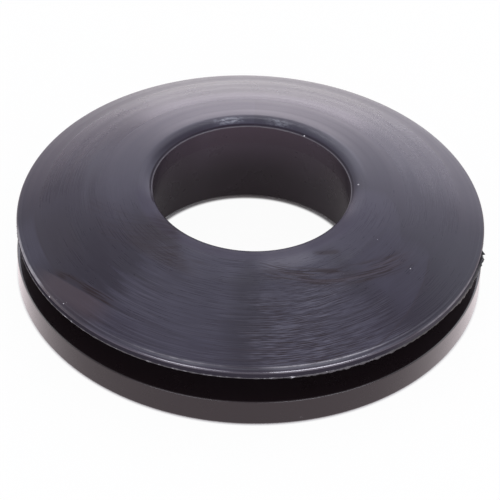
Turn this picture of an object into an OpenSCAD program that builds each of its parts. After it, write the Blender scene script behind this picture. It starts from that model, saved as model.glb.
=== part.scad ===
// Manhole seal: a one-piece moulded rubber ring that closes the gap round a duct in a manhole wall.
// It is all one body of revolution. The duct runs along Z, and heights are above the flat underside.

/* [Flanges] */
// Outer diameter of both flanges
flange_d = 95; // [88:0.5:120]
// Thickness of the lower flange
lower_t = 6; // [3:0.25:12]
// Thickness of the upper flange at its rim, before the rim is rounded
rim_t = 1.8; // [1.4:0.1:4]
// Radius of the domed upper face, a piece of a ball that is centred on the axis
dome_r = 116; // [90:1:240]

/* [Groove] */
// Diameter of the groove's floor, which fills the hole in the wall
groove_d = 76; // [60:0.5:82]
// Width of the groove, which takes the thickness of the wall
groove_w = 6; // [4.5:0.25:12]
// Fillet in the groove's two inner corners
root_r = 0.8; // [0.2:0.1:1.5]

/* [Bore] */
// Diameter of the sealing land, which grips the duct
bore_d = 40; // [30:0.5:44]
// Height of the sealing land, down from the bore's upper edge
land_h = 4; // [2:0.25:8]
// Diameter of the flared mouth in the underside, where the duct is started
mouth_d = 46; // [45:0.5:56]

/* [Edges] */
// Radius of the rounded lip that leads from the dome into the bore
lip_r = 3.5; // [1:0.1:6]
// Angle below the horizontal that the lip has turned to where it meets the bore
lip_turn = 45; // [20:1:85]
// Rounding of the upper flange's rim
rim_r = 0.6; // [0.3:0.1:1.5]
// Rounding of the lower flange's upper edge
edge_r = 0.3; // [0.1:0.1:1]
// Rounding of both edges of the underside
foot_r = 0.6; // [0.2:0.1:1.5]

/* [Hidden] */
$fn = 180;
rubber_black = "#2d2c32";

flange_r = flange_d / 2;
groove_r = groove_d / 2;
bore_r = bore_d / 2;
mouth_r = mouth_d / 2;
groove_top = lower_t + groove_w;

// How far a cut runs past the faces that it opens
overshoot = 1;

// Height of the ball's centre, from the rim that the dome has to meet
dome_z = groove_top + rim_t - sqrt(pow(dome_r, 2) - pow(flange_r, 2));
dome_top = dome_z + dome_r;

// How far a rounding bites through the dome or the flare, so that they cross and leave no sliver
bite = 0.002;

// Centre of a rounding of radius r that runs into the dome, where x is the centre's radius
function under_dome(x, r) = [x, dome_z + sqrt(pow(dome_r - r + bite, 2) - pow(x, 2))];

// Direction of the dome's outward normal at a point, in degrees from the horizontal
function dome_normal(p) = atan2(p[1] - dome_z, p[0]);

rim_c = under_dome(flange_r - rim_r, rim_r);
lip_c = under_dome(bore_r + lip_r * sin(lip_turn), lip_r);
bore_top = lip_c[1] + lip_r * cos(lip_turn);
land_z = bore_top - land_h;

// Angle of the flare from the vertical, and the centre of its rounding into the underside
flare = atan2(mouth_r - bore_r, land_z);
mouth_c = [mouth_r - tan(flare) * foot_r + (foot_r - bite) / cos(flare), foot_r];

// What a rounding of radius r about c takes off a corner, between two directions in degrees
module corner_waste(c, r, from, to) {
    reach = 2 * r;
    directions = [from, (from + to) / 2, to];
    translate(c) difference() {
        polygon([[0, 0], for (a = directions) reach * [cos(a), sin(a)]]);
        circle(r);
    }
}

// What a fillet adds in an inner corner of the groove, with the corner at the origin
module root_fillet() {
    difference() {
        translate([-root_r, -root_r]) square(2 * root_r);
        translate([root_r, root_r]) circle(root_r);
    }
}

// Both flanges and the neck between them, solid to the axis
module outer_section() {
    square([flange_r, lower_t]);
    square([groove_r, groove_top + rim_t]);
    intersection() {
        translate([0, groove_top]) square([flange_r, dome_r]);
        translate([0, dome_z]) circle(dome_r);
    }
    translate([groove_r, lower_t]) root_fillet();
    translate([groove_r, groove_top]) mirror([0, 1]) root_fillet();
}

// The duct's way: the straight land above and the flare below it
module bore_section() {
    polygon([
        [-overshoot, -overshoot],
        [mouth_r, -overshoot],
        [mouth_r, 0],
        [bore_r, land_z],
        [bore_r, dome_top + overshoot],
        [-overshoot, dome_top + overshoot]
    ]);
}

// Half of the ring cut through its axis
module section() {
    difference() {
        outer_section();
        bore_section();
        corner_waste(lip_c, lip_r, dome_normal(lip_c), 180);
        corner_waste(rim_c, rim_r, 0, dome_normal(rim_c));
        corner_waste([flange_r - edge_r, lower_t - edge_r], edge_r, 0, 90);
        corner_waste([flange_r - foot_r, foot_r], foot_r, -90, 0);
        corner_waste(mouth_c, foot_r, 180 + flare, 270);
    }
}

module seal() {
    color(rubber_black) rotate_extrude() section();
}

seal();
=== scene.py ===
"""Manhole seal: the looks of a one-piece moulded rubber ring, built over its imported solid.

The ring lies flat on a pale studio floor with its domed flange up. Blender's lengths are metres in the
part's own frame, with +Z up along the bore. Sizes are written in millimetres and MM turns them into metres.
"""

import logging
import math
from dataclasses import dataclass, field
from enum import Enum

import bpy
import numpy as np
from mathutils import Matrix, Vector


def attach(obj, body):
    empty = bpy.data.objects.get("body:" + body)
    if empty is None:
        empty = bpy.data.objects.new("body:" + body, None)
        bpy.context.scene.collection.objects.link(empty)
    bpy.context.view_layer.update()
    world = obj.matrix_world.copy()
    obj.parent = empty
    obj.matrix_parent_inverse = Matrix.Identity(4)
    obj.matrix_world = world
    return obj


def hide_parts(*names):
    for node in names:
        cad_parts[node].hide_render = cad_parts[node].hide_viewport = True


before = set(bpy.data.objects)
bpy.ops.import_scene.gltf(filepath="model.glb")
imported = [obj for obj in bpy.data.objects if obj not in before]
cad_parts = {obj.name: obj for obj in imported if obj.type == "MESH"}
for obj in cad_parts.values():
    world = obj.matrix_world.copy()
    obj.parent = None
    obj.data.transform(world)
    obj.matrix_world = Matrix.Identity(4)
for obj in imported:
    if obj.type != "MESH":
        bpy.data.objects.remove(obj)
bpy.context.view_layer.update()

MM = 0.001
LOG = logging.getLogger("manhole_seal")

# The stretch of the rim that is torn, in radians from the front to the right: start, end and soft edge
TORN_STRETCH = (0.66, 1.60, 0.10)

# Watts for each square metre of a lamp's face at which the face looks plain white
FACE_WATTS = 4.0

Colour = tuple[float, float, float, float]
Point = tuple[float, float]


class Zone(Enum):
    """Stretches of the ring's section, in the order in which the section runs."""

    UNDERSIDE = "underside"
    WALL = "outer wall"
    GROOVE = "groove"
    RIM = "rim's wall"
    EDGE = "rim's rounding"
    DOME = "dome"
    LIP = "lip"
    BEAD = "bead"
    BORE = "bore"


class Wire:
    """One output socket of a shader node, whose operators add Math nodes."""

    def __init__(self, bench: "Bench", socket: bpy.types.NodeSocket) -> None:
        """Keeps the bench that adds nodes and the socket that this wire leaves."""
        self.bench = bench
        self.socket = socket

    def other(self, name: str) -> "Wire":
        """Another output of the same node, by name."""
        return Wire(self.bench, self.socket.node.outputs[name])

    def _math(self, operation: str, first: "Wire | float", second: "Wire | float") -> "Wire":
        """Adds one Math node.

        Args:
            operation: Blender's name of the operation.
            first: the upper value.
            second: the lower value.

        Returns:
            The wire that carries the result.
        """
        return self.bench.node(
            "ShaderNodeMath", {"operation": operation}, {"Value": first, "Value_001": second}
        )

    def __add__(self, value: "Wire | float") -> "Wire":
        """This plus a value."""
        return self._math("ADD", self, value)

    def __radd__(self, value: float) -> "Wire":
        """A number plus this."""
        return self._math("ADD", value, self)

    def __sub__(self, value: "Wire | float") -> "Wire":
        """This less a value."""
        return self._math("SUBTRACT", self, value)

    def __rsub__(self, value: float) -> "Wire":
        """A number less this."""
        return self._math("SUBTRACT", value, self)

    def __mul__(self, value: "Wire | float") -> "Wire":
        """This times a value."""
        return self._math("MULTIPLY", self, value)

    def __rmul__(self, value: float) -> "Wire":
        """A number times this."""
        return self._math("MULTIPLY", value, self)

    def __truediv__(self, value: "Wire | float") -> "Wire":
        """This over a value."""
        return self._math("DIVIDE", self, value)

    def __rtruediv__(self, value: float) -> "Wire":
        """A number over this."""
        return self._math("DIVIDE", value, self)

    def __pow__(self, value: "Wire | float") -> "Wire":
        """This to a power."""
        return self._math("POWER", self, value)

    def __or__(self, value: "Wire | float") -> "Wire":
        """The larger of this and a value."""
        return self._math("MAXIMUM", self, value)

    def __and__(self, value: "Wire | float") -> "Wire":
        """The smaller of this and a value."""
        return self._math("MINIMUM", self, value)

    def angle_over(self, value: "Wire | float") -> "Wire":
        """The angle whose tangent is this over a value, in radians round the whole circle."""
        return self._math("ARCTAN2", self, value)

    def window(self, low: float, high: float, edge: float) -> "Wire":
        """1 between low and high and 0 outside, over soft edges of the given half-width."""
        return self.ramp(low - edge, low + edge) * self.ramp(high + edge, high - edge)

    def ramp(self, low: float, high: float) -> "Wire":
        """A smooth step over a range of this value.

        Args:
            low: where the step is 0.
            high: where it is 1, which may lie below low.

        Returns:
            The step, from 0 to 1.
        """
        return self.bench.node(
            "ShaderNodeMapRange",
            {"interpolation_type": "SMOOTHSTEP"},
            {"Value": self, "From Min": low, "From Max": high},
        )


class Bench:
    """A node tree under construction."""

    def __init__(self, tree: bpy.types.NodeTree) -> None:
        """Takes a tree and clears it."""
        self.tree = tree
        tree.nodes.clear()

    def node(
        self, kind: str, settings: dict[str, object], sockets: dict[str, object], output: str = ""
    ) -> Wire:
        """Adds a node of any type.

        Args:
            kind: Blender's name of the node's type.
            settings: the node's own properties, which are set first.
            sockets: a value or a wire for each input, by the socket's identifier.
            output: the output's name, where it isn't the first one in use.

        Returns:
            The wire from the node's output.
        """
        made = self.tree.nodes.new(kind)
        for name, value in settings.items():
            setattr(made, name, value)
        inputs = {socket.identifier: socket for socket in made.inputs}
        for name, value in sockets.items():
            if isinstance(value, Wire):
                self.tree.links.new(value.socket, inputs[name])
            else:
                inputs[name].default_value = value
        live = [socket for socket in made.outputs if socket.enabled]
        return Wire(self, made.outputs[output] if output else live[0] if live else None)

    def mix(self, share: Wire, first: Wire | Colour, second: Wire | Colour) -> Wire:
        """Blends two colours.

        Args:
            share: 0 for the first colour and 1 for the second.
            first: a colour or a wire that carries one.
            second: the other colour.

        Returns:
            The blended colour.
        """
        return self.node(
            "ShaderNodeMix",
            {"data_type": "RGBA"},
            {"Factor_Float": share, "A_Color": first, "B_Color": second},
        )

    def noise(self, where: Wire, scale: float, detail: float, rough: float = 0.5) -> Wire:
        """A cloud of soft noise.

        Args:
            where: the coordinates that it is read at.
            scale: clouds to the unit of the coordinates.
            detail: octaves of noise.
            rough: how strong each finer octave is.

        Returns:
            Noise from 0 to 1.
        """
        return self.node(
            "ShaderNodeTexNoise",
            {"noise_dimensions": "3D"},
            {"Vector": where, "Scale": scale, "Detail": detail, "Roughness": rough},
        )


@dataclass(frozen=True)
class Spot:
    """Where a shaded point lies, as wires: Object coordinates, and its place round the ring.

    Radius and height are in mm. The turn is in radians, 0 in front and growing to the right.
    """

    place: Wire
    radius: Wire
    height: Wire
    cosine: Wire
    sine: Wire
    turn: Wire

    @classmethod
    def on(cls, bench: Bench) -> "Spot":
        """Reads Object coordinates and works out the rest from them.

        Args:
            bench: the tree.

        Returns:
            The point's wires.
        """
        place = bench.node("ShaderNodeTexCoord", {}, {}, "Object")
        x = bench.node("ShaderNodeSeparateXYZ", {}, {"Vector": place}, "X")
        y = x.other("Y")
        metres = (x * x + y * y) ** 0.5
        turn = x.angle_over(0.0 - y)
        return cls(place, metres / MM, x.other("Z") / MM, x / metres, y / metres, turn)

    @property
    def behind(self) -> Wire:
        """The turn squared, which grows from the front to the back alike on both sides."""
        return self.turn * self.turn

    def track(self, bench: Bench, across: Wire, pitch: float, run: float, detail: float) -> Wire:
        """Noise that is drawn out round the axis, as a turning tool leaves it.

        Args:
            bench: the tree.
            across: the distance across the marks in mm.
            pitch: the marks' spacing in mm.
            run: how often the marks change round the axis, to the radian.
            detail: octaves of noise.

        Returns:
            Noise from 0 to 1.
        """
        where = {"X": across / pitch, "Y": self.cosine * run, "Z": self.sine * run}
        return bench.noise(bench.node("ShaderNodeCombineXYZ", {}, where), 1.0, detail)


@dataclass(frozen=True)
class Cover:
    """What lies on a shaded point of the ring, as wires that run from 0 to 1.

    Dome, rim and bead are the mesh's own zones, and the pale bead is the bead's pale stretch at the sides
    and back, a painted highlight.
    Mottle is a slow cloud. Marks are the turning marks, fine is their swing about the middle, worked is
    how strongly they show, and scored is their hollows. Wiped is where a cloth took the haze off, patch is
    a dull patch in front of the bore, and dust is the specks. Ahead is 1 in front and 0 behind.
    """

    dome: Wire
    rim: Wire
    bead: Wire
    bead_highlight: Wire
    mottle: Wire
    marks: Wire
    fine: Wire
    worked: Wire
    scored: Wire
    wiped: Wire
    patch: Wire
    dust: Wire
    ahead: Wire


@dataclass(frozen=True)
class MouldedRubber:
    """Black moulded rubber: a turned dome with a wiped haze and painted reflections on it, and plain warm
    walls. Part of the dome's blue and the walls' warmth is the tint of the light, painted into the colour.

    Places on it are stretches of the radius and height in mm and of the turn in radians. Noise scales are
    to the metre. A stroke of the cloth follows a spiral, along which the radius changes by its slope in mm
    for each radian.
    """

    name: str = "moulded_rubber"
    # Painted light tint: part of the dome's blue and the walls' warmth stands in for the tint of the light.
    clean_black: Colour = (0.0145, 0.0110, 0.0215, 1.0)
    # Haze, partly painted reflection of the overhead lamps and painted light near the bore.
    haze_and_sheen_grey: Colour = (0.0350, 0.0310, 0.0510, 1.0)
    wall_black: Colour = (0.0130, 0.0085, 0.0100, 1.0)
    # Painted light and shade in the bore: lighter at the back and on the land, darker at the sides.
    lit_land_black: Colour = (0.0380, 0.0250, 0.0340, 1.0)
    shaded_side_black: Colour = (0.0200, 0.0135, 0.0195, 1.0)
    lit_back_black: Colour = (0.0450, 0.0310, 0.0430, 1.0)
    smear_brown: Colour = (0.0600, 0.0430, 0.0530, 1.0)
    wiped_brown: Colour = (0.0125, 0.0050, 0.0085, 1.0)
    mark_grey: Colour = (0.0780, 0.0730, 0.0980, 1.0)
    # Painted highlights along the step inside the rim and along the rim's edge.
    highlight_grey: Colour = (0.2200, 0.2150, 0.2350, 1.0)
    # Painted highlight: the bead's light line at the sides and back.
    bead_highlight_grey: Colour = (0.0850, 0.0770, 0.0880, 1.0)
    rim_black: Colour = (0.0255, 0.0225, 0.0290, 1.0)
    rim_grey: Colour = (0.0480, 0.0430, 0.0500, 1.0)
    groove_black: Colour = (0.0270, 0.0230, 0.0250, 1.0)
    # Painted light: the groove's lighter tone towards the right.
    groove_lit_grey: Colour = (0.0480, 0.0410, 0.0490, 1.0)
    dull_grey: Colour = (0.0830, 0.0770, 0.1000, 1.0)
    patch_grey: Colour = (0.1150, 0.1080, 0.1320, 1.0)
    stroke_brown: Colour = (0.0330, 0.0250, 0.0280, 1.0)
    # Painted shade in the crease by the bead and on the left of the lip.
    crease_shade_black: Colour = (0.0240, 0.0190, 0.0250, 1.0)
    # Haze and painted highlight on the lip.
    lip_haze_and_highlight: Colour = (0.2900, 0.3000, 0.3400, 1.0)
    nick_grey: Colour = (0.1500, 0.1400, 0.1450, 1.0)
    dust_white: Colour = (0.55, 0.54, 0.56, 1.0)
    dome_rough: float = 0.30
    wall_rough: float = 0.28
    ior: float = 1.46
    gloss_rough: float = 0.12
    gloss_ior: float = 1.9
    mark_depth: float = 0.012
    mark_pitch: float = 0.135
    short_pitch: float = 0.11
    cloud_scale: float = 60.0
    mottle_scale: float = 110.0
    wobble_scale: float = 150.0
    blotch_scale: float = 420.0
    nick_scale: float = 1300.0
    grain_scale: float = 5200.0
    left_slope: float = 19.0
    right_slope: float = 9.8
    upper_slope: float = 13.0
    lower_slope: float = 14.9
    bay_start: float = 1.065
    bay_run: float = 0.366
    bay_low: float = 42.1
    bay_rise: float = 2.6
    specks: tuple[tuple[float, float, float, float], ...] = (
        (21.47, 1.19, 21.56, 0.22),
        (10.44, 17.40, 20.95, 0.19),
        (-38.79, -27.33, 13.40, 0.22),
        (-38.02, -27.82, 13.80, 0.16),
        (-37.20, -28.70, 13.90, 0.14),
        (-35.82, -30.02, 14.14, 0.12),
        (-35.24, -29.94, 14.27, 0.10),
        (31.81, -19.88, 17.70, 0.13),
        (25.23, -14.38, 20.25, 0.09),
    )

    def material(self) -> bpy.types.Material:
        """Builds the finish: satin rubber, and matt rubber where the satin is torn, dulled or rubbed off.

        Returns:
            The material.
        """
        made = bpy.data.materials.new(self.name)
        made.use_nodes = True
        bench = Bench(made.node_tree)
        spot = Spot.on(bench)
        cover = self._cover(bench, spot)
        satin = self._satin(bench, spot, cover)
        matt, share = self._matt(bench, spot, cover)
        whole = bench.node("ShaderNodeMixShader", {}, {"Fac": share, "Shader": satin, "Shader_001": matt})
        bench.node("ShaderNodeOutputMaterial", {}, {"Surface": whole})
        return made

    def _cover(self, bench: Bench, spot: Spot) -> Cover:
        """Works out what lies on each point.

        The turning marks run long round the axis, and short ones are mixed in to the right of the front.

        Args:
            bench: the tree.
            spot: the point.

        Returns:
            The point's cover.
        """
        dome = self._share(bench, "dome")
        bead = self._share(bench, "bead")
        mottle = bench.noise(spot.place, self.mottle_scale, 4.0, 0.6)
        across = spot.radius + (bench.noise(spot.place, self.wobble_scale, 1.0) - 0.5) * 0.3
        marks = spot.track(bench, across, self.mark_pitch, 4.2, 1.0).ramp(0.32, 0.68)
        short = spot.track(bench, across, self.short_pitch, 15.0, 1.0).ramp(0.32, 0.68)
        marks = marks + (short - 0.5) * spot.turn.window(0.0, 0.66, 0.15) * 0.9
        worked = self._worked(bench, spot, mottle) * dome
        behind = spot.behind
        ahead = behind.ramp(5.0, 1.5)
        patch = spot.radius.ramp(27.0, 25.0) * spot.turn.window(0.10, 0.52, 0.09)
        return Cover(
            dome=dome,
            rim=self._share(bench, "rim"),
            bead=bead,
            # Painted highlight on the bead at the sides and back.
            bead_highlight=bead * behind.ramp(0.8, 2.2) * (0.4 + 0.6 * mottle),
            mottle=mottle,
            marks=marks,
            fine=(marks - 0.5) * ahead,
            worked=worked,
            scored=marks.ramp(0.45, 0.0) * worked,
            wiped=self._strokes(bench, spot, across),
            patch=patch * (0.25 + 0.6 * mottle),
            dust=self._dust(bench, spot.place),
            ahead=ahead,
        )

    def _satin(self, bench: Bench, spot: Spot, cover: Cover) -> Wire:
        """The satin rubber, with turning marks, wiped strokes and a fine grit as relief.

        Args:
            bench: the tree.
            spot: the point.
            cover: what lies on it.

        Returns:
            The shader.
        """
        dome = cover.dome
        rough = dome * (self._polish(spot) - self.wall_rough) + self.wall_rough
        rough = rough + (cover.mottle - 0.5) * 0.08 + cover.dust * 0.4 + cover.fine * dome * 0.05
        grain = bench.noise(spot.place, self.grain_scale, 2.0)
        gritty = dome * cover.ahead | self._outer(spot)
        height = cover.marks * (dome * cover.ahead * 0.03 + cover.worked * 0.25)
        height = height + grain * gritty * 0.06 - cover.wiped * dome * 0.3
        relief = {"Strength": 1.0, "Distance": self.mark_depth * MM, "Height": height}
        return bench.node(
            "ShaderNodeBsdfPrincipled",
            {},
            {
                "Base Color": self._colour(bench, spot, cover),
                "Roughness": rough,
                "IOR": self.ior,
                "Normal": bench.node("ShaderNodeBump", {}, relief),
                "Coat Weight": self._gloss(bench, spot, dome),
                "Coat Roughness": self.gloss_rough,
                "Coat IOR": self.gloss_ior,
            },
        )

    def _colour(self, bench: Bench, spot: Spot, cover: Cover) -> Wire:
        """Lays the dome's colours over the bare rubber, from the clean dome and its haze up to the dust.
        The haze carries painted reflections, and the pale bead, the pale lines and the lip's smears are
        painted highlights.

        Args:
            bench: the tree.
            spot: the point.
            cover: what lies on it.

        Returns:
            The colour.
        """
        dome = cover.dome
        blotch = bench.noise(spot.place, self.blotch_scale, 3.0, 0.6)
        # Haze with painted reflections and painted light on the dome.
        haze_and_sheen = self._haze_and_sheen(bench, spot, cover.mottle) * (0.82 + cover.fine * 0.4 + blotch * 0.36)
        layers = (
            (dome, self.clean_black),
            (cover.bead_highlight, self.bead_highlight_grey),
            ((haze_and_sheen * dome) & 1.0, self.haze_and_sheen_grey),
            (cover.marks.ramp(0.55, 1.0) * cover.worked, self.mark_grey),
            (cover.patch * dome, self.patch_grey),
            (cover.wiped * dome | cover.scored, self.wiped_brown),
            ((self._smear(bench, spot) * dome) & 1.0, self.smear_brown),
            (self._painted_highlights(bench, spot) * dome, self.highlight_grey),
            (self._lip_smear_and_highlight(bench, spot), self.lip_haze_and_highlight),
            (self._nicks(bench, spot), self.nick_grey),
            (cover.dust, self.dust_white),
        )
        colour = self._bare(bench, spot)
        for share, tint in layers:
            colour = bench.mix(share, colour, tint)
        return colour

    def _bare(self, bench: Bench, spot: Spot) -> Wire:
        """The colour of the walls, of the bore with its lighter back and land, and of the groove. The
        bore's lighter back and land and its darker sides are painted light and shade, and so is the
        groove's lighter right-hand stretch.

        Args:
            bench: the tree.
            spot: the point.

        Returns:
            The colour.
        """
        behind = spot.behind
        # Painted light: the land and the back of the bore are lighter, the sides darker.
        land = spot.height.ramp(15.6, 17.6) * behind.ramp(3.5, 7.5)
        bore = bench.mix(behind.ramp(2.5, 6.5), self.shaded_side_black, self.lit_back_black)
        bore = bench.mix(land, bore, self.lit_land_black)
        walls = bench.mix(self._inner(spot), self.wall_black, bore)
        groove = spot.height.window(6.1, 11.9, 0.1) * spot.radius.window(36.0, 47.2, 0.1)
        # Painted light: the groove grows lighter towards the right.
        depth = bench.mix(spot.turn.ramp(0.60, 1.20), self.groove_black, self.groove_lit_grey)
        return bench.mix(groove, walls, depth)

    def _matt(self, bench: Bench, spot: Spot, cover: Cover) -> tuple[Wire, Wire]:
        """Rubber without gloss: the rim's wall, the near lip, dark creases, strokes and bands at the back.
        The near lip's matt grey and the dark creases are painted shade.

        Args:
            bench: the tree.
            spot: the point.
            cover: what lies on it.

        Returns:
            The shader and its share of the surface.
        """
        dome = cover.dome
        # Painted shade: the near lip loses its gloss and turns matt grey.
        near = spot.radius.ramp(24.2, 22.9) * spot.turn.window(-1.42, 1.18, 0.18)
        near = near * (dome | cover.bead) * 0.92
        dark = self._painted_shade(spot, cover)
        bands = spot.track(bench, spot.radius, 2.4, 0.5, 2.0).ramp(0.35, 0.65)
        bands = bands * spot.behind.ramp(1.5, 5.0) * dome
        worn_off = cover.wiped * dome * 0.5 | cover.scored * 0.3 | dark | bands * 0.12
        rim_tone = bench.mix(spot.turn.window(*TORN_STRETCH), self.rim_black, self.rim_grey)
        dull = bench.mix(cover.patch, self.dull_grey, self.patch_grey)
        dull = bench.mix(cover.wiped | cover.scored, dull, self.stroke_brown)
        dull = bench.mix(dark.ramp(0.0, 0.2), dull, self.crease_shade_black)
        dull = bench.mix(cover.rim, dull, rim_tone)
        matt = bench.node(
            "ShaderNodeBsdfPrincipled",
            {},
            {"Base Color": dull, "Roughness": 1.0, "Specular IOR Level": 0.0},
        )
        return matt, (cover.rim | near | worn_off) * (1.0 - cover.dust)

    def _painted_shade(self, spot: Spot, cover: Cover) -> Wire:
        """Painted shade: a dark crease just outside the bead, deepest on the left, a dark crescent on the
        left of the lip, and the shaded sides of the bore.

        Args:
            spot: the point.
            cover: what lies on it.

        Returns:
            The share of dark rubber.
        """
        behind = spot.behind
        left = spot.turn.ramp(0.3, -0.3)
        # Painted shade: a darker crease outside the bead and a darker crescent on the lip's left.
        crease = spot.radius.window(20.24, 20.62, 0.10) * behind.ramp(1.4, 2.3) * (left * 0.25 + 0.55)
        crease = crease | spot.radius.ramp(23.6, 20.6) * spot.turn.window(-2.70, -1.90, 0.25) * 0.5
        side = self._inner(spot) * (1.0 - cover.dome) * behind.ramp(8.0, 4.0) * (left * 0.22 + 0.2)
        return crease * cover.dome | side * (1.0 - cover.bead_highlight)

    def _share(self, bench: Bench, zone: str) -> Wire:
        """The mesh's own share of a zone at each point."""
        return bench.node("ShaderNodeAttribute", {"attribute_name": zone}, {}, "Fac")

    def _inner(self, spot: Spot) -> Wire:
        """1 inside the bore's mouth and 0 outside it."""
        return spot.radius.ramp(25.0, 24.5)

    def _outer(self, spot: Spot) -> Wire:
        """1 along the outside of both flanges and 0 further in."""
        return spot.radius.ramp(46.0, 46.5)

    def _right_spiral(self, spot: Spot) -> Wire:
        """The radius less the slope of the strokes on the right, which is the same all along one stroke."""
        return spot.radius - self.right_slope * spot.turn

    def _beyond_bay(self, spot: Spot) -> Wire:
        """How far a point lies outside the curved edge of the bay on the left.

        The edge is a parabola: its radius rises with the square of the turn from the bay's right end.

        Args:
            spot: the point.

        Returns:
            The distance in mm.
        """
        back = 1.0 - (spot.turn + self.bay_start) / self.bay_run
        return spot.radius - self.bay_low - back * back * self.bay_rise

    def _gloss(self, bench: Bench, spot: Spot, dome: Wire) -> Wire:
        """The gloss over the rubber: worn stretches of the rim in front, and the lower wall's sides.

        Args:
            bench: the tree.
            spot: the point.
            dome: the mesh's share of dome.

        Returns:
            The coat's weight.
        """
        left = spot.turn.window(-0.38, -0.15, 0.07) * 0.85
        right = spot.turn.window(0.08, 0.45, 0.09)
        front = left | right | spot.turn.window(-0.62, 0.72, 0.20) * 0.42
        edge = self._share(bench, "edge") * front * 0.8
        side = spot.turn + 0.06
        sides = (side * side).ramp(0.30, 1.65) * (side * side).ramp(2.9, 1.8)
        wall = sides * self._outer(spot) * spot.height.ramp(6.2, 6.0)
        return edge | wall * (1.0 - dome)

    def _lip_smear_and_highlight(self, bench: Bench, spot: Spot) -> Wire:
        """Pale smears on the lip: two streaks beside the middle of the back, which are haze and a painted
        highlight of the two strip lamps, and a faint haze on the right.

        Args:
            bench: the tree.
            spot: the point.

        Returns:
            The share of haze.
        """
        left = spot.turn.window(-3.01, -2.78, 0.07) * spot.radius.window(20.9, 22.4, 0.35)
        right = spot.turn.window(2.80, 3.00, 0.08) * spot.radius.window(20.7, 22.2, 0.35) * 0.55
        streak = spot.track(bench, spot.radius, 0.35, 26.0, 2.0).ramp(0.30, 0.72)
        side = spot.turn.window(1.80, 2.55, 0.22) * spot.radius.window(21.0, 23.6, 0.6) * 0.16
        return ((left | right) * streak | side) * spot.height.ramp(20.4, 20.9) * 0.75

    def _nicks(self, bench: Bench, spot: Spot) -> Wire:
        """Small pale nicks in the front of the lower wall, with a thick patch right of the middle.

        Args:
            bench: the tree.
            spot: the point.

        Returns:
            1 in a nick and 0 elsewhere.
        """
        patch = spot.turn.window(0.10, 0.30, 0.06) | spot.turn.window(-0.75, 0.75, 0.1) * 0.72
        low = spot.height.window(0.5, 5.4, 0.3) * spot.radius.ramp(47.0, 47.3)
        return (bench.noise(spot.place, self.nick_scale, 2.0, 0.6) * patch).ramp(0.66, 0.72) * low

    def _worked(self, bench: Bench, spot: Spot, mottle: Wire) -> Wire:
        """How strongly the turning marks show: most on the right of the front, less on its left.

        They come and go in clouds, are faint at the sides and behind, and stop short of the rim.

        Args:
            bench: the tree.
            spot: the point.
            mottle: a slow cloud.

        Returns:
            The marks' share.
        """
        turn = spot.turn + (mottle - 0.5) * 0.5
        right = turn.ramp(-0.09, 0.14) * turn.ramp(0.85, 0.45) * spot.radius.ramp(28.5, 33.0)
        left = turn.window(-0.66, 0.0, 0.2) * 0.40
        cloud = bench.noise(spot.place, self.cloud_scale, 3.0).ramp(0.40, 0.66)
        share = right | left | spot.behind.ramp(4.0, 1.5) * 0.05
        return share * (0.45 + 0.55 * cloud) * spot.radius.ramp(47.0, 46.2)

    def _painted_highlights(self, bench: Bench, spot: Spot) -> Wire:
        """Pale lines, broken along their length, which are painted highlights: the step inside the rim, and
        the rim at both sides.

        Args:
            bench: the tree.
            spot: the point.

        Returns:
            The share of worn rubber.
        """
        left = spot.turn.window(-0.46, -0.10, 0.08) * 0.45
        right = spot.turn.window(0.10, 0.58, 0.08) * 0.85
        broken = bench.noise(spot.place, self.blotch_scale, 2.0).ramp(0.30, 0.60)
        step = spot.radius.window(46.50, 46.70, 0.06) * (left | right | 0.05)
        left_rim = spot.radius.ramp(47.05, 47.2) * spot.turn.window(-1.42, -1.03, 0.04) * 0.9
        right_rim = spot.radius.ramp(47.27, 47.37) * spot.turn.window(0.80, 1.22, 0.08) * 0.4
        return (step | left_rim | right_rim) * (0.4 + 0.6 * broken)

    def _polish(self, spot: Spot) -> Wire:
        """The roughness of the dome, which changes with the radius at the back in rings of unlike polish.

        Args:
            spot: the point.

        Returns:
            The roughness.
        """
        inner = spot.radius.ramp(31.05, 31.3) * -0.08
        middle = spot.radius.ramp(33.0, 36.0) * 0.05
        outer = spot.radius.ramp(42.4, 43.4) * 0.07
        return (inner + middle + outer) * spot.behind.ramp(1.2, 4.0) + self.dome_rough

    def _haze_and_sheen(self, bench: Bench, spot: Spot, mottle: Wire) -> Wire:
        """The bluish haze that rubber sweats out, left in sectors between strokes of a cloth, with painted
        reflections in it.

        A left sector with a ragged edge and a right one lie on both sides of a clean stripe in front; they
        are haze and also painted reflections of two lamps overhead. Two more patches lie to the right, each
        behind a slanting edge, and a narrow band lies along the left rim. A thin haze lies everywhere else
        and thickens towards the bore and at the sides; the lightening towards the bore is painted light.

        Args:
            bench: the tree.
            spot: the point.
            mottle: a slow cloud.

        Returns:
            The share of haze.
        """
        turn = spot.turn + (mottle - 0.5) * 0.22
        ragged = turn + (spot.track(bench, spot.radius, 0.9, 1.2, 2.0) - 0.5) * 0.7
        left = ragged.ramp(-0.80, -0.66) * turn.ramp(0.0, -0.18)
        right = turn.ramp(0.02, 0.18) * turn.ramp(0.74, 0.56)
        upper = (spot.radius + self.upper_slope * turn).ramp(54.3, 53.4) * turn.window(0.74, 1.2, 0.1)
        lower = (spot.radius + self.lower_slope * turn).ramp(50.8, 50.0) * turn.window(0.72, 1.6, 0.1)
        inner = spot.radius.ramp(29.0, 23.5) * turn.window(-0.68, 1.5, 0.08) * 0.5
        bright = spot.radius.ramp(26.4, 24.6) * turn.window(0.06, 0.55, 0.06) * 0.9
        corner = spot.radius.ramp(35.0, 29.0) * turn.ramp(-0.70, -1.5) * 0.7
        sides = spot.behind.ramp(0.9, 2.4) * 0.35
        band = spot.radius.ramp(43.4, 44.3) * spot.turn.window(-1.46, -1.12, 0.10) * 0.8
        haze = band | left * 0.66 | right * 0.60 | upper * 0.55 | lower * 0.66 | sides | corner
        return (haze + inner + bright + 0.10) * (0.7 + 0.6 * mottle)

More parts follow.
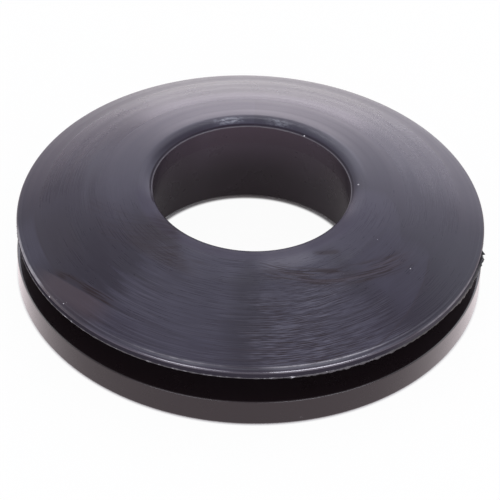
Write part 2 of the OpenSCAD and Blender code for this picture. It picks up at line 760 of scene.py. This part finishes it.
    def _strokes(self, bench: Bench, spot: Spot, across: Wire) -> Wire:
        """Strokes of a cloth that took the haze off.

        Args:
            bench: the tree.
            spot: the point.
            across: the radius in mm with a slow wobble.

        Returns:
            1 where the rubber is wiped clean and 0 elsewhere.
        """
        left = self._left_strokes(bench, spot, across)
        right = self._right_strokes(bench, spot, across)
        return (left | right) & 1.0

    def _left_strokes(self, bench: Bench, spot: Spot, across: Wire) -> Wire:
        """A fan of strokes, a wiped patch by the bore, a row of dashes, the bay's edge and the left side.

        Args:
            bench: the tree.
            spot: the point.
            across: the radius in mm with a slow wobble.

        Returns:
            The wiped share.
        """
        turn, radius = spot.turn, spot.radius
        spiral = radius + self.left_slope * turn
        streaks = spot.track(bench, spiral, 0.30, 4.0, 1.0).ramp(0.44, 0.64)
        area = spiral.window(3.0, 13.2, 1.5) * turn.window(-1.5, -0.66, 0.1) * radius.ramp(35.0, 31.5)
        fan = streaks * area
        slant = (turn - 0.0425 * radius).ramp(-1.53, -1.70)
        inner = radius.ramp(30.6, 28.6) * turn.ramp(-1.15, -0.90) * slant * (0.38 + 0.34 * streaks)
        dashes = spot.track(bench, across, 0.60, 4.0, 1.0).ramp(0.54, 0.62)
        dashes = dashes * radius.window(26.4, 29.2, 0.4) * turn.window(-0.66, -0.42, 0.07)
        beyond = self._beyond_bay(spot)
        frayed = 0.40 + 0.8 * spot.track(bench, beyond, 0.30, 7.0, 1.0).ramp(0.42, 0.60)
        bay_edge = beyond.window(-1.5, 0.0, 0.35) * turn.window(-1.04, -0.68, 0.06) * frayed
        side = radius.window(37.0, 43.4, 1.0) * 0.26 | radius.window(43.45, 43.85, 0.25) * 0.4
        side = side * turn.window(-1.42, -1.08, 0.12)
        return fan * 0.5 | inner | dashes * 0.95 | bay_edge | side

    def _right_strokes(self, bench: Bench, spot: Spot, across: Wire) -> Wire:
        """A fan of strokes, a dash, a thin slanting line, and arcs inside the rim in front.

        Args:
            bench: the tree.
            spot: the point.
            across: the radius in mm with a slow wobble.

        Returns:
            The wiped share.
        """
        turn, radius = spot.turn, spot.radius
        spiral = self._right_spiral(spot)
        area = spiral.window(22.7, 27.2, 0.8) * turn.window(0.12, 1.06, 0.12)
        fan = spot.track(bench, spiral, 0.28, 5.0, 1.0).ramp(0.44, 0.60) * area
        dash = spiral.window(18.3, 19.3, 0.3) * turn.window(0.56, 0.74, 0.04)
        line = (radius + self.upper_slope * turn).window(53.85, 54.15, 0.12) * turn.window(0.52, 1.15, 0.03)
        arcs = spot.track(bench, across, 0.26, 2.4, 1.0).ramp(0.52, 0.66)
        arcs = arcs * radius.window(43.0, 46.2, 0.4) * turn.window(-0.10, 0.52, 0.06)
        return fan * 0.9 | dash * 0.7 | line * 0.45 | arcs * 0.6

    def _smear(self, bench: Bench, spot: Spot) -> Wire:
        """A brown smear in the bay on the left, and traces of it in the fan of strokes on the right.

        Args:
            bench: the tree.
            spot: the point.

        Returns:
            The share of brown.
        """
        beyond = self._beyond_bay(spot)
        bay = beyond.ramp(0.0, 0.35) * beyond.ramp(6.0, 2.6) * spot.turn.window(-1.08, -0.70, 0.09)
        spiral = self._right_spiral(spot)
        fan = spiral.window(22.9, 26.8, 0.7) * spot.turn.window(0.2, 1.06, 0.12)
        fan = fan * spot.track(bench, spiral, 1.3, 1.4, 1.0).ramp(0.45, 0.65)
        return bay * 0.66 + fan * 0.4

    def _dust(self, bench: Bench, place: Wire) -> Wire:
        """A few tiny pale specks, each a spot round a point.

        Args:
            bench: the tree.
            place: Object coordinates.

        Returns:
            1 on a speck and 0 elsewhere.
        """
        share = 0.0
        for x, y, z, size in self.specks:
            point = {"Vector": place, "Vector_001": (x * MM, y * MM, z * MM)}
            gap = bench.node("ShaderNodeVectorMath", {"operation": "DISTANCE"}, point, "Value")
            share = gap.ramp(size * MM, size * 0.6 * MM) | share
        return share


@dataclass(frozen=True)
class FlashRubber:
    """The thin skin that a mould squeezes out at its parting line: pale where frayed, dark where torn."""

    name: str = "flash_rubber"
    root_black: Colour = (0.046, 0.043, 0.049, 1.0)
    frayed_grey: Colour = (0.42, 0.41, 0.43, 1.0)
    torn_black: Colour = (0.016, 0.015, 0.017, 1.0)
    fray_scale: float = 1100.0
    cloud_scale: float = 160.0
    roughness: float = 0.5
    ior: float = 1.5

    def material(self) -> bpy.types.Material:
        """Builds the finish on Object coordinates.

        Returns:
            The material.
        """
        made = bpy.data.materials.new(self.name)
        made.use_nodes = True
        bench = Bench(made.node_tree)
        spot = Spot.on(bench)
        torn = spot.turn.window(*TORN_STRETCH)
        fray = bench.noise(spot.place, self.fray_scale, 3.0).ramp(0.50, 0.72)
        fray = fray * bench.noise(spot.place, self.cloud_scale, 2.0).ramp(0.4, 0.62)
        fray = fray * (1.0 - torn * 0.8)
        colour = bench.mix(fray, self.root_black, self.frayed_grey)
        colour = bench.mix(torn, colour, self.torn_black)
        skin = bench.node(
            "ShaderNodeBsdfPrincipled",
            {},
            {"Base Color": colour, "Roughness": self.roughness + fray * 0.2, "IOR": self.ior},
        )
        bench.node("ShaderNodeOutputMaterial", {}, {"Surface": skin})
        return made


@dataclass
class Section:
    """A closed run of points, radius then height in mm, anticlockwise with the axis on its left."""

    points: list[np.ndarray] = field(default_factory=list)
    zones: list[np.ndarray] = field(default_factory=list)

    def _add(self, points: np.ndarray, zone: Zone) -> None:
        """Keeps a stroke without its last point, which the next stroke starts with."""
        self.points.append(points[:-1])
        self.zones.append(np.full(len(points) - 1, list(Zone).index(zone)))

    def line(self, start: Point, end: Point, count: int, zone: Zone) -> None:
        """A straight stroke whose points crowd towards its two ends, as a cosine does.

        Args:
            start: the first point.
            end: the last point.
            count: steps along it.
            zone: what the stroke belongs to.
        """
        share = (1 - np.cos(np.linspace(0, np.pi, count + 1))) / 2
        self._add(np.outer(1 - share, start) + np.outer(share, end), zone)

    def arc(
        self, centre: Point, radius: float, first: float, last: float, count: int, zone: Zone
    ) -> None:
        """A round stroke: the centre plus the radius along each direction from first to last.

        Args:
            centre: the arc's centre.
            radius: its radius.
            first: the first direction in degrees from the horizontal.
            last: the last direction.
            count: steps along it.
            zone: what the stroke belongs to.
        """
        angle = np.radians(np.linspace(first, last, count + 1))
        self._add(np.array(centre) + radius * np.stack([np.cos(angle), np.sin(angle)], 1), zone)

    def dome(self, centre: float, radius: float, radii: np.ndarray, zone: Zone) -> None:
        """A stroke along a ball that is centred on the axis, at the given distances from the axis.

        Args:
            centre: the height of the ball's centre.
            radius: the ball's radius.
            radii: the distances from the axis, from the rim inwards.
            zone: what the stroke belongs to.
        """
        self._add(np.stack([radii, centre + np.sqrt(radius**2 - radii**2)], 1), zone)


def carry_round(grid: np.ndarray, name: str) -> bpy.types.Object:
    """Makes a closed ring from sections that stand side by side round the axis.

    Point (i, j) of the grid is point j of section i, in metres. Each face joins points j and j + 1 of
    sections i and i + 1, and both counts wrap round, so that the ring has no seam and no pole.

    Args:
        grid: an array of sections by points by three.
        name: the piece's name.

    Returns:
        The object, at the origin.
    """
    turns, steps = grid.shape[:2]
    index = np.arange(turns * steps).reshape(turns, steps)
    onward = np.roll(index, -1, 0)
    quads = np.stack([index, onward, np.roll(onward, -1, 1), np.roll(index, -1, 1)], 2).reshape(-1, 4)
    mesh = bpy.data.meshes.new(name)
    mesh.vertices.add(turns * steps)
    mesh.vertices.foreach_set("co", grid.astype(np.float32).ravel())
    mesh.loops.add(quads.size)
    mesh.loops.foreach_set("vertex_index", quads.astype(np.int32).ravel())
    mesh.polygons.add(len(quads))
    mesh.polygons.foreach_set("loop_start", np.arange(0, quads.size, 4, dtype=np.int32))
    mesh.update(calc_edges=True)
    mesh.validate()
    mesh.shade_smooth()
    piece = bpy.data.objects.new(name, mesh)
    bpy.context.scene.collection.objects.link(piece)
    return piece


@dataclass
class SealRing:
    """The whole rubber ring, as the solid has it, with the fine edges that only show close up.

    Sizes are in mm. Each wave of the dome is its half height, its pitch, how far it drifts, how often it
    drifts in a turn, and where the drift starts.
    """

    flange_r: float = 47.5
    flash_reach: float = 0.08
    edge_step: float = 0.11
    lower_t: float = 6.0
    groove_top: float = 12.0
    groove_r: float = 38.0
    root_r: float = 0.8
    dome_r: float = 116.0
    dome_z: float = -92.0283
    rim_r: float = 0.7
    lip_c: Point = (22.4749, 18.2030)
    lip_r: float = 3.5
    bore_r: float = 20.0
    land_z: float = 16.680
    mouth_c: Point = (23.4961, 0.6)
    foot_r: float = 0.6
    edge_r: float = 0.3
    corner_r: float = 0.08
    bead_r: float = 0.15
    bead_sunk: float = 0.07
    flare: float = 10.197
    turns: int = 304
    fine_to: float = 46.2
    middle_to: float = 44.2
    coarse_from: float = 44.15
    step_r: float = 46.62
    step_width: float = 0.07
    step_left: float = 0.95
    step_right: float = 1.10
    step_run: float = 0.4
    line_radii: tuple[float, ...] = (46.15, 45.60, 44.90)
    line_depths: tuple[float, ...] = (0.022, 0.014, 0.010)
    line_width: float = 0.11
    calm_r: float = 46.4
    calm_run: float = 0.6
    lip_fade: float = 2.0
    waves: tuple[tuple[float, float, float, int, float], ...] = (
        (0.012, 6.1, 0.5, 1, 0.6),
        (0.006, 2.7, 0.8, 2, 2.0),
        (0.002, 1.1, 1.2, 1, 4.0),
    )

    def section(self) -> Section:
        """The half-section, from the underside's inner edge outwards, up, over the dome and down the bore.

        Returns:
            The section.
        """
        run = Section()
        rim = self.flange_r - self.flash_reach
        self._foot(run)
        self._groove(run, rim)
        self._top(run, rim)
        self._bore(run)
        return run

    def _foot(self, run: Section) -> None:
        """Adds the underside, its outer rounding, the lower flange's wall and that wall's upper edge.

        Args:
            run: the section so far.
        """
        wall = self.flange_r
        top = self.lower_t - self.edge_r
        run.line((self.mouth_c[0], 0.0), (wall - self.foot_r, 0.0), 14, Zone.UNDERSIDE)
        run.arc((wall - self.foot_r, self.foot_r), self.foot_r, -90, 0, 10, Zone.WALL)
        run.line((wall, self.foot_r), (wall, top), 14, Zone.WALL)
        run.arc((wall - self.edge_r, top), self.edge_r, 0, 90, 6, Zone.WALL)

    def _groove(self, run: Section, rim: float) -> None:
        """Adds the groove: its lower side, its filleted floor and its upper side.

        Args:
            run: the section so far.
            rim: the radius of the upper flange's wall.
        """
        floor = self.groove_r
        root = floor + self.root_r
        low = self.lower_t + self.root_r
        high = self.groove_top - self.root_r
        run.line((self.flange_r - self.edge_r, self.lower_t), (root, self.lower_t), 10, Zone.GROOVE)
        run.arc((root, low), self.root_r, 270, 180, 6, Zone.GROOVE)
        run.line((floor, low), (floor, high), 8, Zone.GROOVE)
        run.arc((root, high), self.root_r, 180, 90, 6, Zone.GROOVE)
        run.line((root, self.groove_top), (rim - self.corner_r, self.groove_top), 10, Zone.GROOVE)

    def _top(self, run: Section, rim: float) -> None:
        """Adds the upper flange's wall, its rounding and the dome, which is sampled finely near the rim.

        The rounding touches the wall and a ball that lies below the dome by the step inside the rim.

        Args:
            run: the section so far.
            rim: the radius of the upper flange's wall.
        """
        low = self.groove_top + self.corner_r
        run.arc((rim - self.corner_r, low), self.corner_r, -90, 0, 5, Zone.RIM)
        centre_r = rim - self.rim_r
        ball = self.dome_r - self.edge_step
        reach = ball - self.rim_r
        centre = (centre_r, self.dome_z + math.sqrt(reach**2 - centre_r**2))
        lean = math.degrees(math.atan2(centre[1] - self.dome_z, centre_r))
        run.line((rim, low), (rim, centre[1]), 8, Zone.RIM)
        run.arc(centre, self.rim_r, 0, lean, 14, Zone.EDGE)
        outer = ball * math.cos(math.radians(lean))
        inner = self.dome_r * self.lip_c[0] / (self.dome_r - self.lip_r)
        fine = np.arange(outer, self.fine_to, -0.035)
        middle = np.arange(self.fine_to, self.middle_to, -0.06)
        coarse = np.linspace(self.coarse_from, inner, 66)
        run.dome(self.dome_z, self.dome_r, np.concatenate([fine, middle, coarse]), Zone.DOME)

    def _bore(self, run: Section) -> None:
        """Adds the lip, the bead on the bore's upper edge, the land, the flare and its rounding.

        The lip ends and the bead begins where their two circles cross.

        Args:
            run: the section so far.
        """
        bead = self._bead_centre()
        apart = math.hypot(bead[0] - self.lip_c[0], bead[1] - self.lip_c[1])
        middle = math.degrees(math.atan2(bead[1] - self.lip_c[1], bead[0] - self.lip_c[0]))
        along = (self.lip_r**2 - self.bead_r**2 + apart**2) / (2 * apart)
        half = math.sqrt(self.lip_r**2 - along**2)
        first = math.degrees(math.atan2(self.lip_c[1] - self.dome_z, self.lip_c[0]))
        last = middle - math.degrees(math.asin(half / self.lip_r))
        begin = middle - math.degrees(math.atan2(half, along - apart))
        run.arc(self.lip_c, self.lip_r, first, last, 26, Zone.LIP)
        run.arc(bead, self.bead_r, begin, 180, 10, Zone.BEAD)
        run.line((self.bore_r, bead[1]), (self.bore_r, self.land_z), 12, Zone.BORE)
        turned = math.radians(180 + self.flare)
        low = (
            self.mouth_c[0] + self.foot_r * math.cos(turned),
            self.mouth_c[1] + self.foot_r * math.sin(turned),
        )
        run.line((self.bore_r, self.land_z), low, 22, Zone.BORE)
        run.arc(self.mouth_c, self.foot_r, 180 + self.flare, 270, 8, Zone.BORE)

    def _bead_centre(self) -> Point:
        """The centre of the bead, which touches the bore's cylinder and stands a little proud of the lip.

        Returns:
            Its radius and height.
        """
        away = self.lip_r - self.bead_sunk
        across = self.bore_r + self.bead_r - self.lip_c[0]
        return (self.lip_c[0] + across, self.lip_c[1] + math.sqrt(away**2 - across**2))

    def _depth(self, radius: np.ndarray, angle: np.ndarray) -> np.ndarray:
        """How far the turned dome lies below the true ball, in mm, at each radius and angle.

        Three rows of sine waves run round the axis, each drifting a little with the angle, and calm down
        near the rim. In front, a narrow bell-shaped line is turned at each of the line radii, and the
        surface drops by a smooth step, a hyperbolic tangent, just inside the rim.

        Args:
            radius: distances from the axis in mm, one row.
            angle: angles round the axis in radians, one column.

        Returns:
            Depths in mm, angle by radius.
        """
        wave = sum(
            half * (1 + np.sin(2 * np.pi * radius / pitch + drift * np.sin(often * angle + start)))
            for half, pitch, drift, often, start in self.waves
        )
        lines = sum(
            deep * np.exp(-(((radius - middle) / self.line_width) ** 2))
            for middle, deep in zip(self.line_radii, self.line_depths)
        )
        step = self.edge_step * (1 + np.tanh((radius - self.step_r) / self.step_width)) / 2
        calm = np.clip((self.calm_r - radius) / self.calm_run, 0, 1)
        return wave * calm + (lines + step) * self._stepped(angle)

    def _stepped(self, angle: np.ndarray) -> np.ndarray:
        """How much of the step inside the rim there is: all in front, and none at the sides and behind.

        It is the product of two smooth steps, 3 s^2 - 2 s^3, of the turn from the front.

        Args:
            angle: angles round the axis in radians.

        Returns:
            Shares from 0 to 1.
        """
        turn = np.angle(np.exp(1j * (angle + np.pi / 2)))
        left = np.clip((turn + self.step_left) / self.step_run, 0, 1)
        right = np.clip((self.step_right - turn) / self.step_run, 0, 1)
        return left**2 * (3 - 2 * left) * right**2 * (3 - 2 * right)

    def build(self) -> bpy.types.Object:
        """Carries the section round the axis and sinks the dome by its turning waves.

        Section point (r, z) at angle a goes to (r cos a, r sin a, z), and a dome point also moves towards
        the ball's centre by its depth, which fades out at the lip. Where there is no step inside the rim,
        the rim's rounding moves out by the step, so that it still meets the dome.

        Returns:
            The ring's object, with the shares of the dome, the rim and the bead as attributes.
        """
        run = self.section()
        profile = np.concatenate(run.points)
        zone = np.concatenate(run.zones)
        angle = np.linspace(0, 2 * np.pi, self.turns, endpoint=False)[:, None]
        on_dome = zone == list(Zone).index(Zone.DOME)
        on_edge = zone == list(Zone).index(Zone.EDGE)
        radius = profile[:, 0]
        fade = np.clip((radius - radius[on_dome].min()) / self.lip_fade, 0, 1) * on_dome
        raised = self.edge_step * (1 - self._stepped(angle)) * on_edge
        depth = self._depth(radius[None, :], angle) * fade[None, :] - raised
        pull = depth / self.dome_r
        out = radius[None, :] * (1 - pull)
        up = profile[None, :, 1] - pull * (profile[None, :, 1] - self.dome_z)
        grid = np.stack([out * np.cos(angle), out * np.sin(angle), up], 2) * MM
        piece = carry_round(grid, "seal_ring")
        self._mark(piece, "dome", zone, (Zone.DOME, Zone.LIP, Zone.EDGE))
        self._mark(piece, "edge", np.where(radius > self.step_r - 0.2, zone, 0), (Zone.DOME, Zone.EDGE))
        self._mark(piece, "rim", zone, (Zone.RIM,))
        self._mark(piece, "bead", zone, (Zone.BEAD,))
        return piece

    def _mark(
        self, piece: bpy.types.Object, name: str, zone: np.ndarray, chosen: tuple[Zone, ...]
    ) -> None:
        """Writes an attribute that is 1 at the points of the chosen zones and 0 elsewhere.

        Args:
            piece: the ring's object.
            name: the attribute's name.
            zone: the zone's number at each point of the section.
            chosen: the zones to mark.
        """
        share = np.isin(zone, [list(Zone).index(one) for one in chosen]).astype(np.float32)
        values = np.broadcast_to(share, (self.turns, len(zone)))
        piece.data.attributes.new(name, "FLOAT", "POINT").data.foreach_set("value", values.ravel())

    def dress(self, piece: bpy.types.Object) -> None:
        """Gives the ring its rubber and puts it in the solid's place.

        Args:
            piece: the ring's object.
        """
        piece.data.materials.append(MouldedRubber().material())
        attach(piece, "root")
        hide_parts("seal")


@dataclass
class PartingFlash:
    """The frayed fin along the parting line, at the lower edge of the upper flange's rim.

    Sizes are in mm and angles in degrees. Along two stretches a ragged skirt hangs from the fin, and a few
    torn nibs stand out from it.
    """

    root_r: float = 47.0
    rim_r: float = 47.42
    box_half: float = 47.5
    height: float = 12.02
    thick: float = 0.34
    least_reach: float = 0.02
    most_reach: float = 0.16
    turns: int = 1800
    seed: int = 7
    skirt_angles: tuple[float, ...] = (302.0, 338.0)
    skirt_halves: tuple[float, ...] = (22.0, 9.0)
    skirt_drops: tuple[float, ...] = (0.45, 1.35)
    nib_angles: tuple[float, ...] = (258.0, 281.0, 286.0, 339.0, 343.0, 346.0, 348.4, 350.7, 300.0, 231.0)
    nib_reach: tuple[float, ...] = (0.10, 0.10, 0.14, 0.30, 0.35, 0.50, 0.75, 0.95, 0.12, 0.12)
    nib_spans: tuple[float, ...] = (0.45, 0.45, 0.45, 2.0, 2.0, 2.0, 1.5, 0.45, 0.45, 0.45)

    def _reach(self, angle: np.ndarray) -> np.ndarray:
        """How far the fin stands out from the rim at each angle.

        Random heights are smoothed over a few steps and thinned by a slow wave, and a few torn nibs are
        added as narrow bells. The result is cut back to the part's box.

        Args:
            angle: angles round the axis in radians.

        Returns:
            Reaches in mm.
        """
        rng = np.random.default_rng(self.seed)
        rough = rng.random(self.turns)
        kernel = np.array([0.25, 0.5, 0.25])
        soft = np.convolve(np.concatenate([rough[-1:], rough, rough[:1]]), kernel, "valid")
        slow = 0.5 + 0.5 * np.sin(7 * angle + 1.0) * np.sin(3 * angle + 0.4)
        reach = self.least_reach + self.most_reach * np.clip(soft - 0.35, 0, 1) * (0.35 + 0.65 * slow)
        for middle, height, span in zip(self.nib_angles, self.nib_reach, self.nib_spans):
            gap = np.angle(np.exp(1j * (angle - math.radians(middle))))
            reach = reach + height * np.exp(-((gap / math.radians(span)) ** 2)) * (0.6 + 0.4 * rough)
        edge = self.box_half / np.maximum(np.abs(np.cos(angle)), np.abs(np.sin(angle)))
        return np.minimum(self.rim_r + reach, edge) - self.rim_r

    def build(self) -> bpy.types.Object:
        """Carries a thin leaf round the axis.

        The leaf's section is a flat diamond: its root lies inside the rim, its tip stands out by the fin's
        reach and sways up and down a little, and its lower flank hangs down by the skirts' drops, each of
        which fades with the fourth power of the angle from its middle.

        Returns:
            The fin's object.
        """
        angle = np.linspace(0, 2 * np.pi, self.turns, endpoint=False)
        reach = self._reach(angle)
        sway = 0.05 * np.sin(41 * angle + 2 * np.sin(5 * angle)) + 0.04 * np.sin(133 * angle)
        drop = 0.5 * self.thick * (0.55 + 5 * np.abs(sway))
        for middle, half, most in zip(self.skirt_angles, self.skirt_halves, self.skirt_drops):
            gap = np.degrees(np.angle(np.exp(1j * (angle - math.radians(middle)))))
            drop = drop + most * np.exp(-((gap / half) ** 4)) * (0.5 + 5 * np.abs(sway))
        tip = self.rim_r + reach
        waist = self.rim_r + 0.5 * reach
        root = np.full(self.turns, self.root_r)
        level = np.full(self.turns, self.height + self.thick / 2)
        radii = np.stack([root, waist, tip, waist], 1)
        low = level - drop
        high = level + 0.5 * self.thick * (0.4 + 9 * np.abs(sway))
        heights = np.stack([level, low, (low + high) / 2 + sway * reach / 0.2, high], 1)
        turned = angle[:, None]
        grid = np.stack([radii * np.cos(turned), radii * np.sin(turned), heights], 2) * MM
        return carry_round(grid, "seal_flash")

    def dress(self, piece: bpy.types.Object) -> None:
        """Gives the fin its frayed rubber and lets it ride with the ring.

        Args:
            piece: the fin's object.
        """
        piece.data.materials.append(FlashRubber().material())
        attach(piece, "root")


class Hang(Enum):
    """How a lamp hangs."""

    FACING = "upright, with its face to the ring"
    CEILING = "flat, with its face down and its width along X"
    FLOOR = "flat, with its face up and its width along X"


@dataclass(frozen=True)
class Softbox:
    """A flat lamp in a direction from the ring: azimuth from the front to the right, and elevation.

    Angles are in degrees and lengths in metres. The level is how bright its face looks, where 1 is white.
    """

    name: str
    azimuth: float
    elevation: float
    width: float
    height: float
    level: float
    tint: tuple[float, float, float] = (1.0, 1.0, 1.0)
    hang: Hang = Hang.FACING
    distance: float = 2.0

    def build(self) -> None:
        """Hangs the lamp, out of the camera's sight, and sets its power from its level and its face."""
        lamp = bpy.data.lights.new(self.name, "AREA")
        lamp.shape = "RECTANGLE"
        lamp.size = self.width
        lamp.size_y = self.height
        lamp.energy = self.level * FACE_WATTS * self.width * self.height
        lamp.color = self.tint
        turn = math.radians(self.azimuth)
        rise = math.radians(self.elevation)
        away = Vector((math.sin(turn) * math.cos(rise), -math.cos(turn) * math.cos(rise), math.sin(rise)))
        stand = bpy.data.objects.new(self.name, lamp)
        stand.location = away * self.distance
        if self.hang is Hang.FACING:
            stand.rotation_mode = "QUATERNION"
            stand.rotation_quaternion = away.to_track_quat("Z", "Y")
        elif self.hang is Hang.FLOOR:
            stand.rotation_euler = (math.pi, 0.0, 0.0)
        stand.visible_camera = False
        bpy.context.scene.collection.objects.link(stand)


@dataclass(frozen=True)
class PaleFloor:
    """A matt white sheet that keeps the ring's shadow and looks white to the camera.

    Its half-width is in metres and the radii on it are in mm.
    """

    half: float = 3.0
    lines: int = 13
    below: float = 0.02
    white: Colour = (0.93, 0.93, 0.93, 1.0)
    camera_lift: float = 0.96
    mirror_white: Colour = (1.0, 0.90, 0.93, 1.0)
    mirror_lift: float = 1.0
    bore_shade: float = 0.80
    shade_r: float = 27.0
    foot_inner: float = 22.7
    foot_outer: float = 47.0
    contact: float = 0.9

    def build(self) -> None:
        """Lays the floor just under the ring as a square grid."""
        side = np.linspace(-self.half, self.half, self.lines)
        across, along = np.meshgrid(side, side)
        points = np.stack([across, along, np.full_like(across, -self.below * MM)], 2).reshape(-1, 3)
        index = np.arange(side.size**2).reshape(side.size, side.size)
        corners = [index[:-1, :-1], index[:-1, 1:], index[1:, 1:], index[1:, :-1]]
        mesh = bpy.data.meshes.new("floor")
        mesh.from_pydata(points.tolist(), [], np.stack(corners, 2).reshape(-1, 4).tolist())
        floor = bpy.data.objects.new("floor", mesh)
        bpy.context.scene.collection.objects.link(floor)
        mesh.materials.append(self._paint())

    def _paint(self) -> bpy.types.Material:
        """Matt white paint that the camera and mirrors see lifted to plain white, but not under the ring.

        Returns:
            The material.
        """
        made = bpy.data.materials.new("pale_floor")
        made.use_nodes = True
        bench = Bench(made.node_tree)
        ray = bench.node("ShaderNodeLightPath", {}, {}, "Is Camera Ray")
        mirror = ray.other("Is Glossy Ray") | ray.other("Is Transmission Ray")
        radius = Spot.on(bench).radius
        clear = radius.ramp(self.foot_inner, self.foot_inner - self.contact)
        clear = clear | radius.ramp(self.foot_outer, self.foot_outer + self.contact)
        shade = radius.ramp(self.shade_r, self.foot_inner) * self.bore_shade
        paint = bench.node("ShaderNodeBsdfDiffuse", {}, {"Color": self.white})
        plain = bench.node("ShaderNodeEmission", {}, {"Strength": 1.0})
        warm = bench.node("ShaderNodeEmission", {}, {"Color": self.mirror_white, "Strength": 1.0})
        share = mirror * (self.mirror_lift - shade)
        seen = bench.node("ShaderNodeMixShader", {}, {"Fac": share, "Shader": paint, "Shader_001": warm})
        share = ray * self.camera_lift * clear
        seen = bench.node("ShaderNodeMixShader", {}, {"Fac": share, "Shader": seen, "Shader_001": plain})
        bench.node("ShaderNodeOutputMaterial", {}, {"Surface": seen})
        return made


@dataclass
class Studio:
    """The floor, the lamps and the world's fill light."""

    fill: Colour = (0.405, 0.375, 0.385, 1.0)
    white: Colour = (1.0, 1.0, 1.0, 1.0)
    softboxes: tuple[Softbox, ...] = (
        Softbox("sweep", 176.0, 0.3, 0.14, 0.20, 1.15, (1.0, 0.99, 1.0), Hang.FLOOR, 0.19),
        Softbox("horizon", 180.0, 1.6, 1.70, 0.10, 2.5, (1.0, 0.97, 1.0)),
        Softbox("back", 180.0, 11.5, 0.84, 0.56, 2.4, (1.0, 0.92, 1.04)),
        Softbox("back_left", 204.0, 9.0, 0.84, 0.70, 0.72, (1.02, 0.91, 1.06)),
        Softbox("back_right", 156.0, 10.5, 0.84, 0.80, 1.36, (0.97, 0.93, 1.08)),
        Softbox("corner_left", 229.0, 9.0, 0.90, 0.70, 0.52),
        Softbox("corner_right", 131.0, 9.0, 0.90, 0.70, 0.42),
        Softbox("side_left", 262.0, 9.0, 1.28, 0.70, 1.95),
        Softbox("side_right", 98.0, 9.0, 1.28, 0.70, 0.65),
        Softbox("back_upper", 178.0, 33.0, 1.90, 0.92, 0.90, (0.93, 0.94, 1.13)),
        Softbox("left_upper", 262.0, 36.0, 3.2, 1.1, 0.43, (0.90, 1.0, 1.10)),
        Softbox("right_upper", 98.0, 36.0, 3.2, 1.1, 0.77, (0.90, 1.0, 1.10)),
        Softbox("top", 180.0, 72.0, 1.75, 1.75, 0.45, (0.88, 1.0, 1.12), Hang.CEILING),
        Softbox("strip_left", 190.0, 53.0, 0.40, 0.16, 5.0, (0.97, 0.97, 1.06)),
        Softbox("strip_right", 169.0, 53.0, 0.44, 0.16, 6.0, (0.97, 0.97, 1.06)),
        Softbox("front_left", -26.5, 11.0, 1.26, 0.60, 5.3, (0.97, 0.96, 1.06)),
        Softbox("front_right", 32.5, 11.0, 1.58, 0.60, 6.4, (0.97, 0.96, 1.06)),
    )

    def build(self) -> None:
        """Builds the stage in order."""
        PaleFloor().build()
        for softbox in self.softboxes:
            softbox.build()
        self._world()

    def _world(self) -> None:
        """Sets an even fill light, which the camera sees as plain white."""
        world = bpy.data.worlds.new("studio")
        world.use_nodes = True
        bpy.context.scene.world = world
        bench = Bench(world.node_tree)
        ray = bench.node("ShaderNodeLightPath", {}, {}, "Is Camera Ray")
        even = bench.node("ShaderNodeBackground", {}, {"Color": self.fill, "Strength": 1.0})
        plain = bench.node("ShaderNodeBackground", {}, {"Color": self.white, "Strength": 1.0})
        seen = bench.node("ShaderNodeMixShader", {}, {"Fac": ray, "Shader": even, "Shader_001": plain})
        bench.node("ShaderNodeOutputWorld", {}, {"Surface": seen})


@dataclass(frozen=True)
class Viewpoint:
    """Where the camera stands: it looks at a target point from in front and above, with a slight roll.

    The target and the distance are in metres, the angles in degrees and the sensor in mm.
    """

    target: tuple[float, float, float] = (0.0, 0.0, 0.012)
    distance: float = 0.570
    elevation: float = 39.403
    roll: float = 2.103
    focal_px: float = 2800.2
    frame_px: float = 500.0
    target_px: Point = (250.50, 221.00)
    sensor: float = 36.0
    clip_start: float = 0.01
    clip_end: float = 20.0

    def build(self) -> None:
        """Sets the camera so that the target falls on its own pixel of the square frame."""
        rise = math.radians(self.elevation)
        away = Vector((0.0, -math.cos(rise), math.sin(rise)))
        right = Vector((1.0, 0.0, 0.0))
        above = away.cross(right)
        turn = math.radians(self.roll)
        rolled_right = math.cos(turn) * right + math.sin(turn) * above
        rolled_up = math.cos(turn) * above - math.sin(turn) * right
        off_right = self.target_px[0] - self.frame_px / 2
        off_up = self.frame_px / 2 - self.target_px[1]
        ahead = (-away * self.focal_px - rolled_right * off_right - rolled_up * off_up).normalized()
        side = (rolled_right - ahead * rolled_right.dot(ahead)).normalized()
        top = side.cross(ahead)
        spot = Vector(self.target) + away * self.distance
        lens = bpy.data.cameras.new("camera")
        lens.sensor_width = self.sensor
        lens.lens = self.focal_px / self.frame_px * self.sensor
        lens.clip_start = self.clip_start
        lens.clip_end = self.clip_end
        stand = bpy.data.objects.new("camera", lens)
        turned = Matrix((side, top, -ahead)).transposed()
        stand.matrix_world = Matrix.Translation(spot) @ turned.to_4x4()
        bpy.context.scene.collection.objects.link(stand)
        bpy.context.scene.camera = stand


def main() -> None:
    """Builds the ring, its flash and the studio in order."""
    logging.basicConfig(level=logging.INFO, format="%(name)s: %(message)s")
    bpy.context.scene.view_settings.view_transform = "Standard"
    for maker in (SealRing(), PartingFlash()):
        piece = maker.build()
        maker.dress(piece)
        mesh = piece.data
        LOG.info("%s: %d points, %d faces", piece.name, len(mesh.vertices), len(mesh.polygons))
    Studio().build()
    Viewpoint().build()


if __name__ == "__main__":
    main()
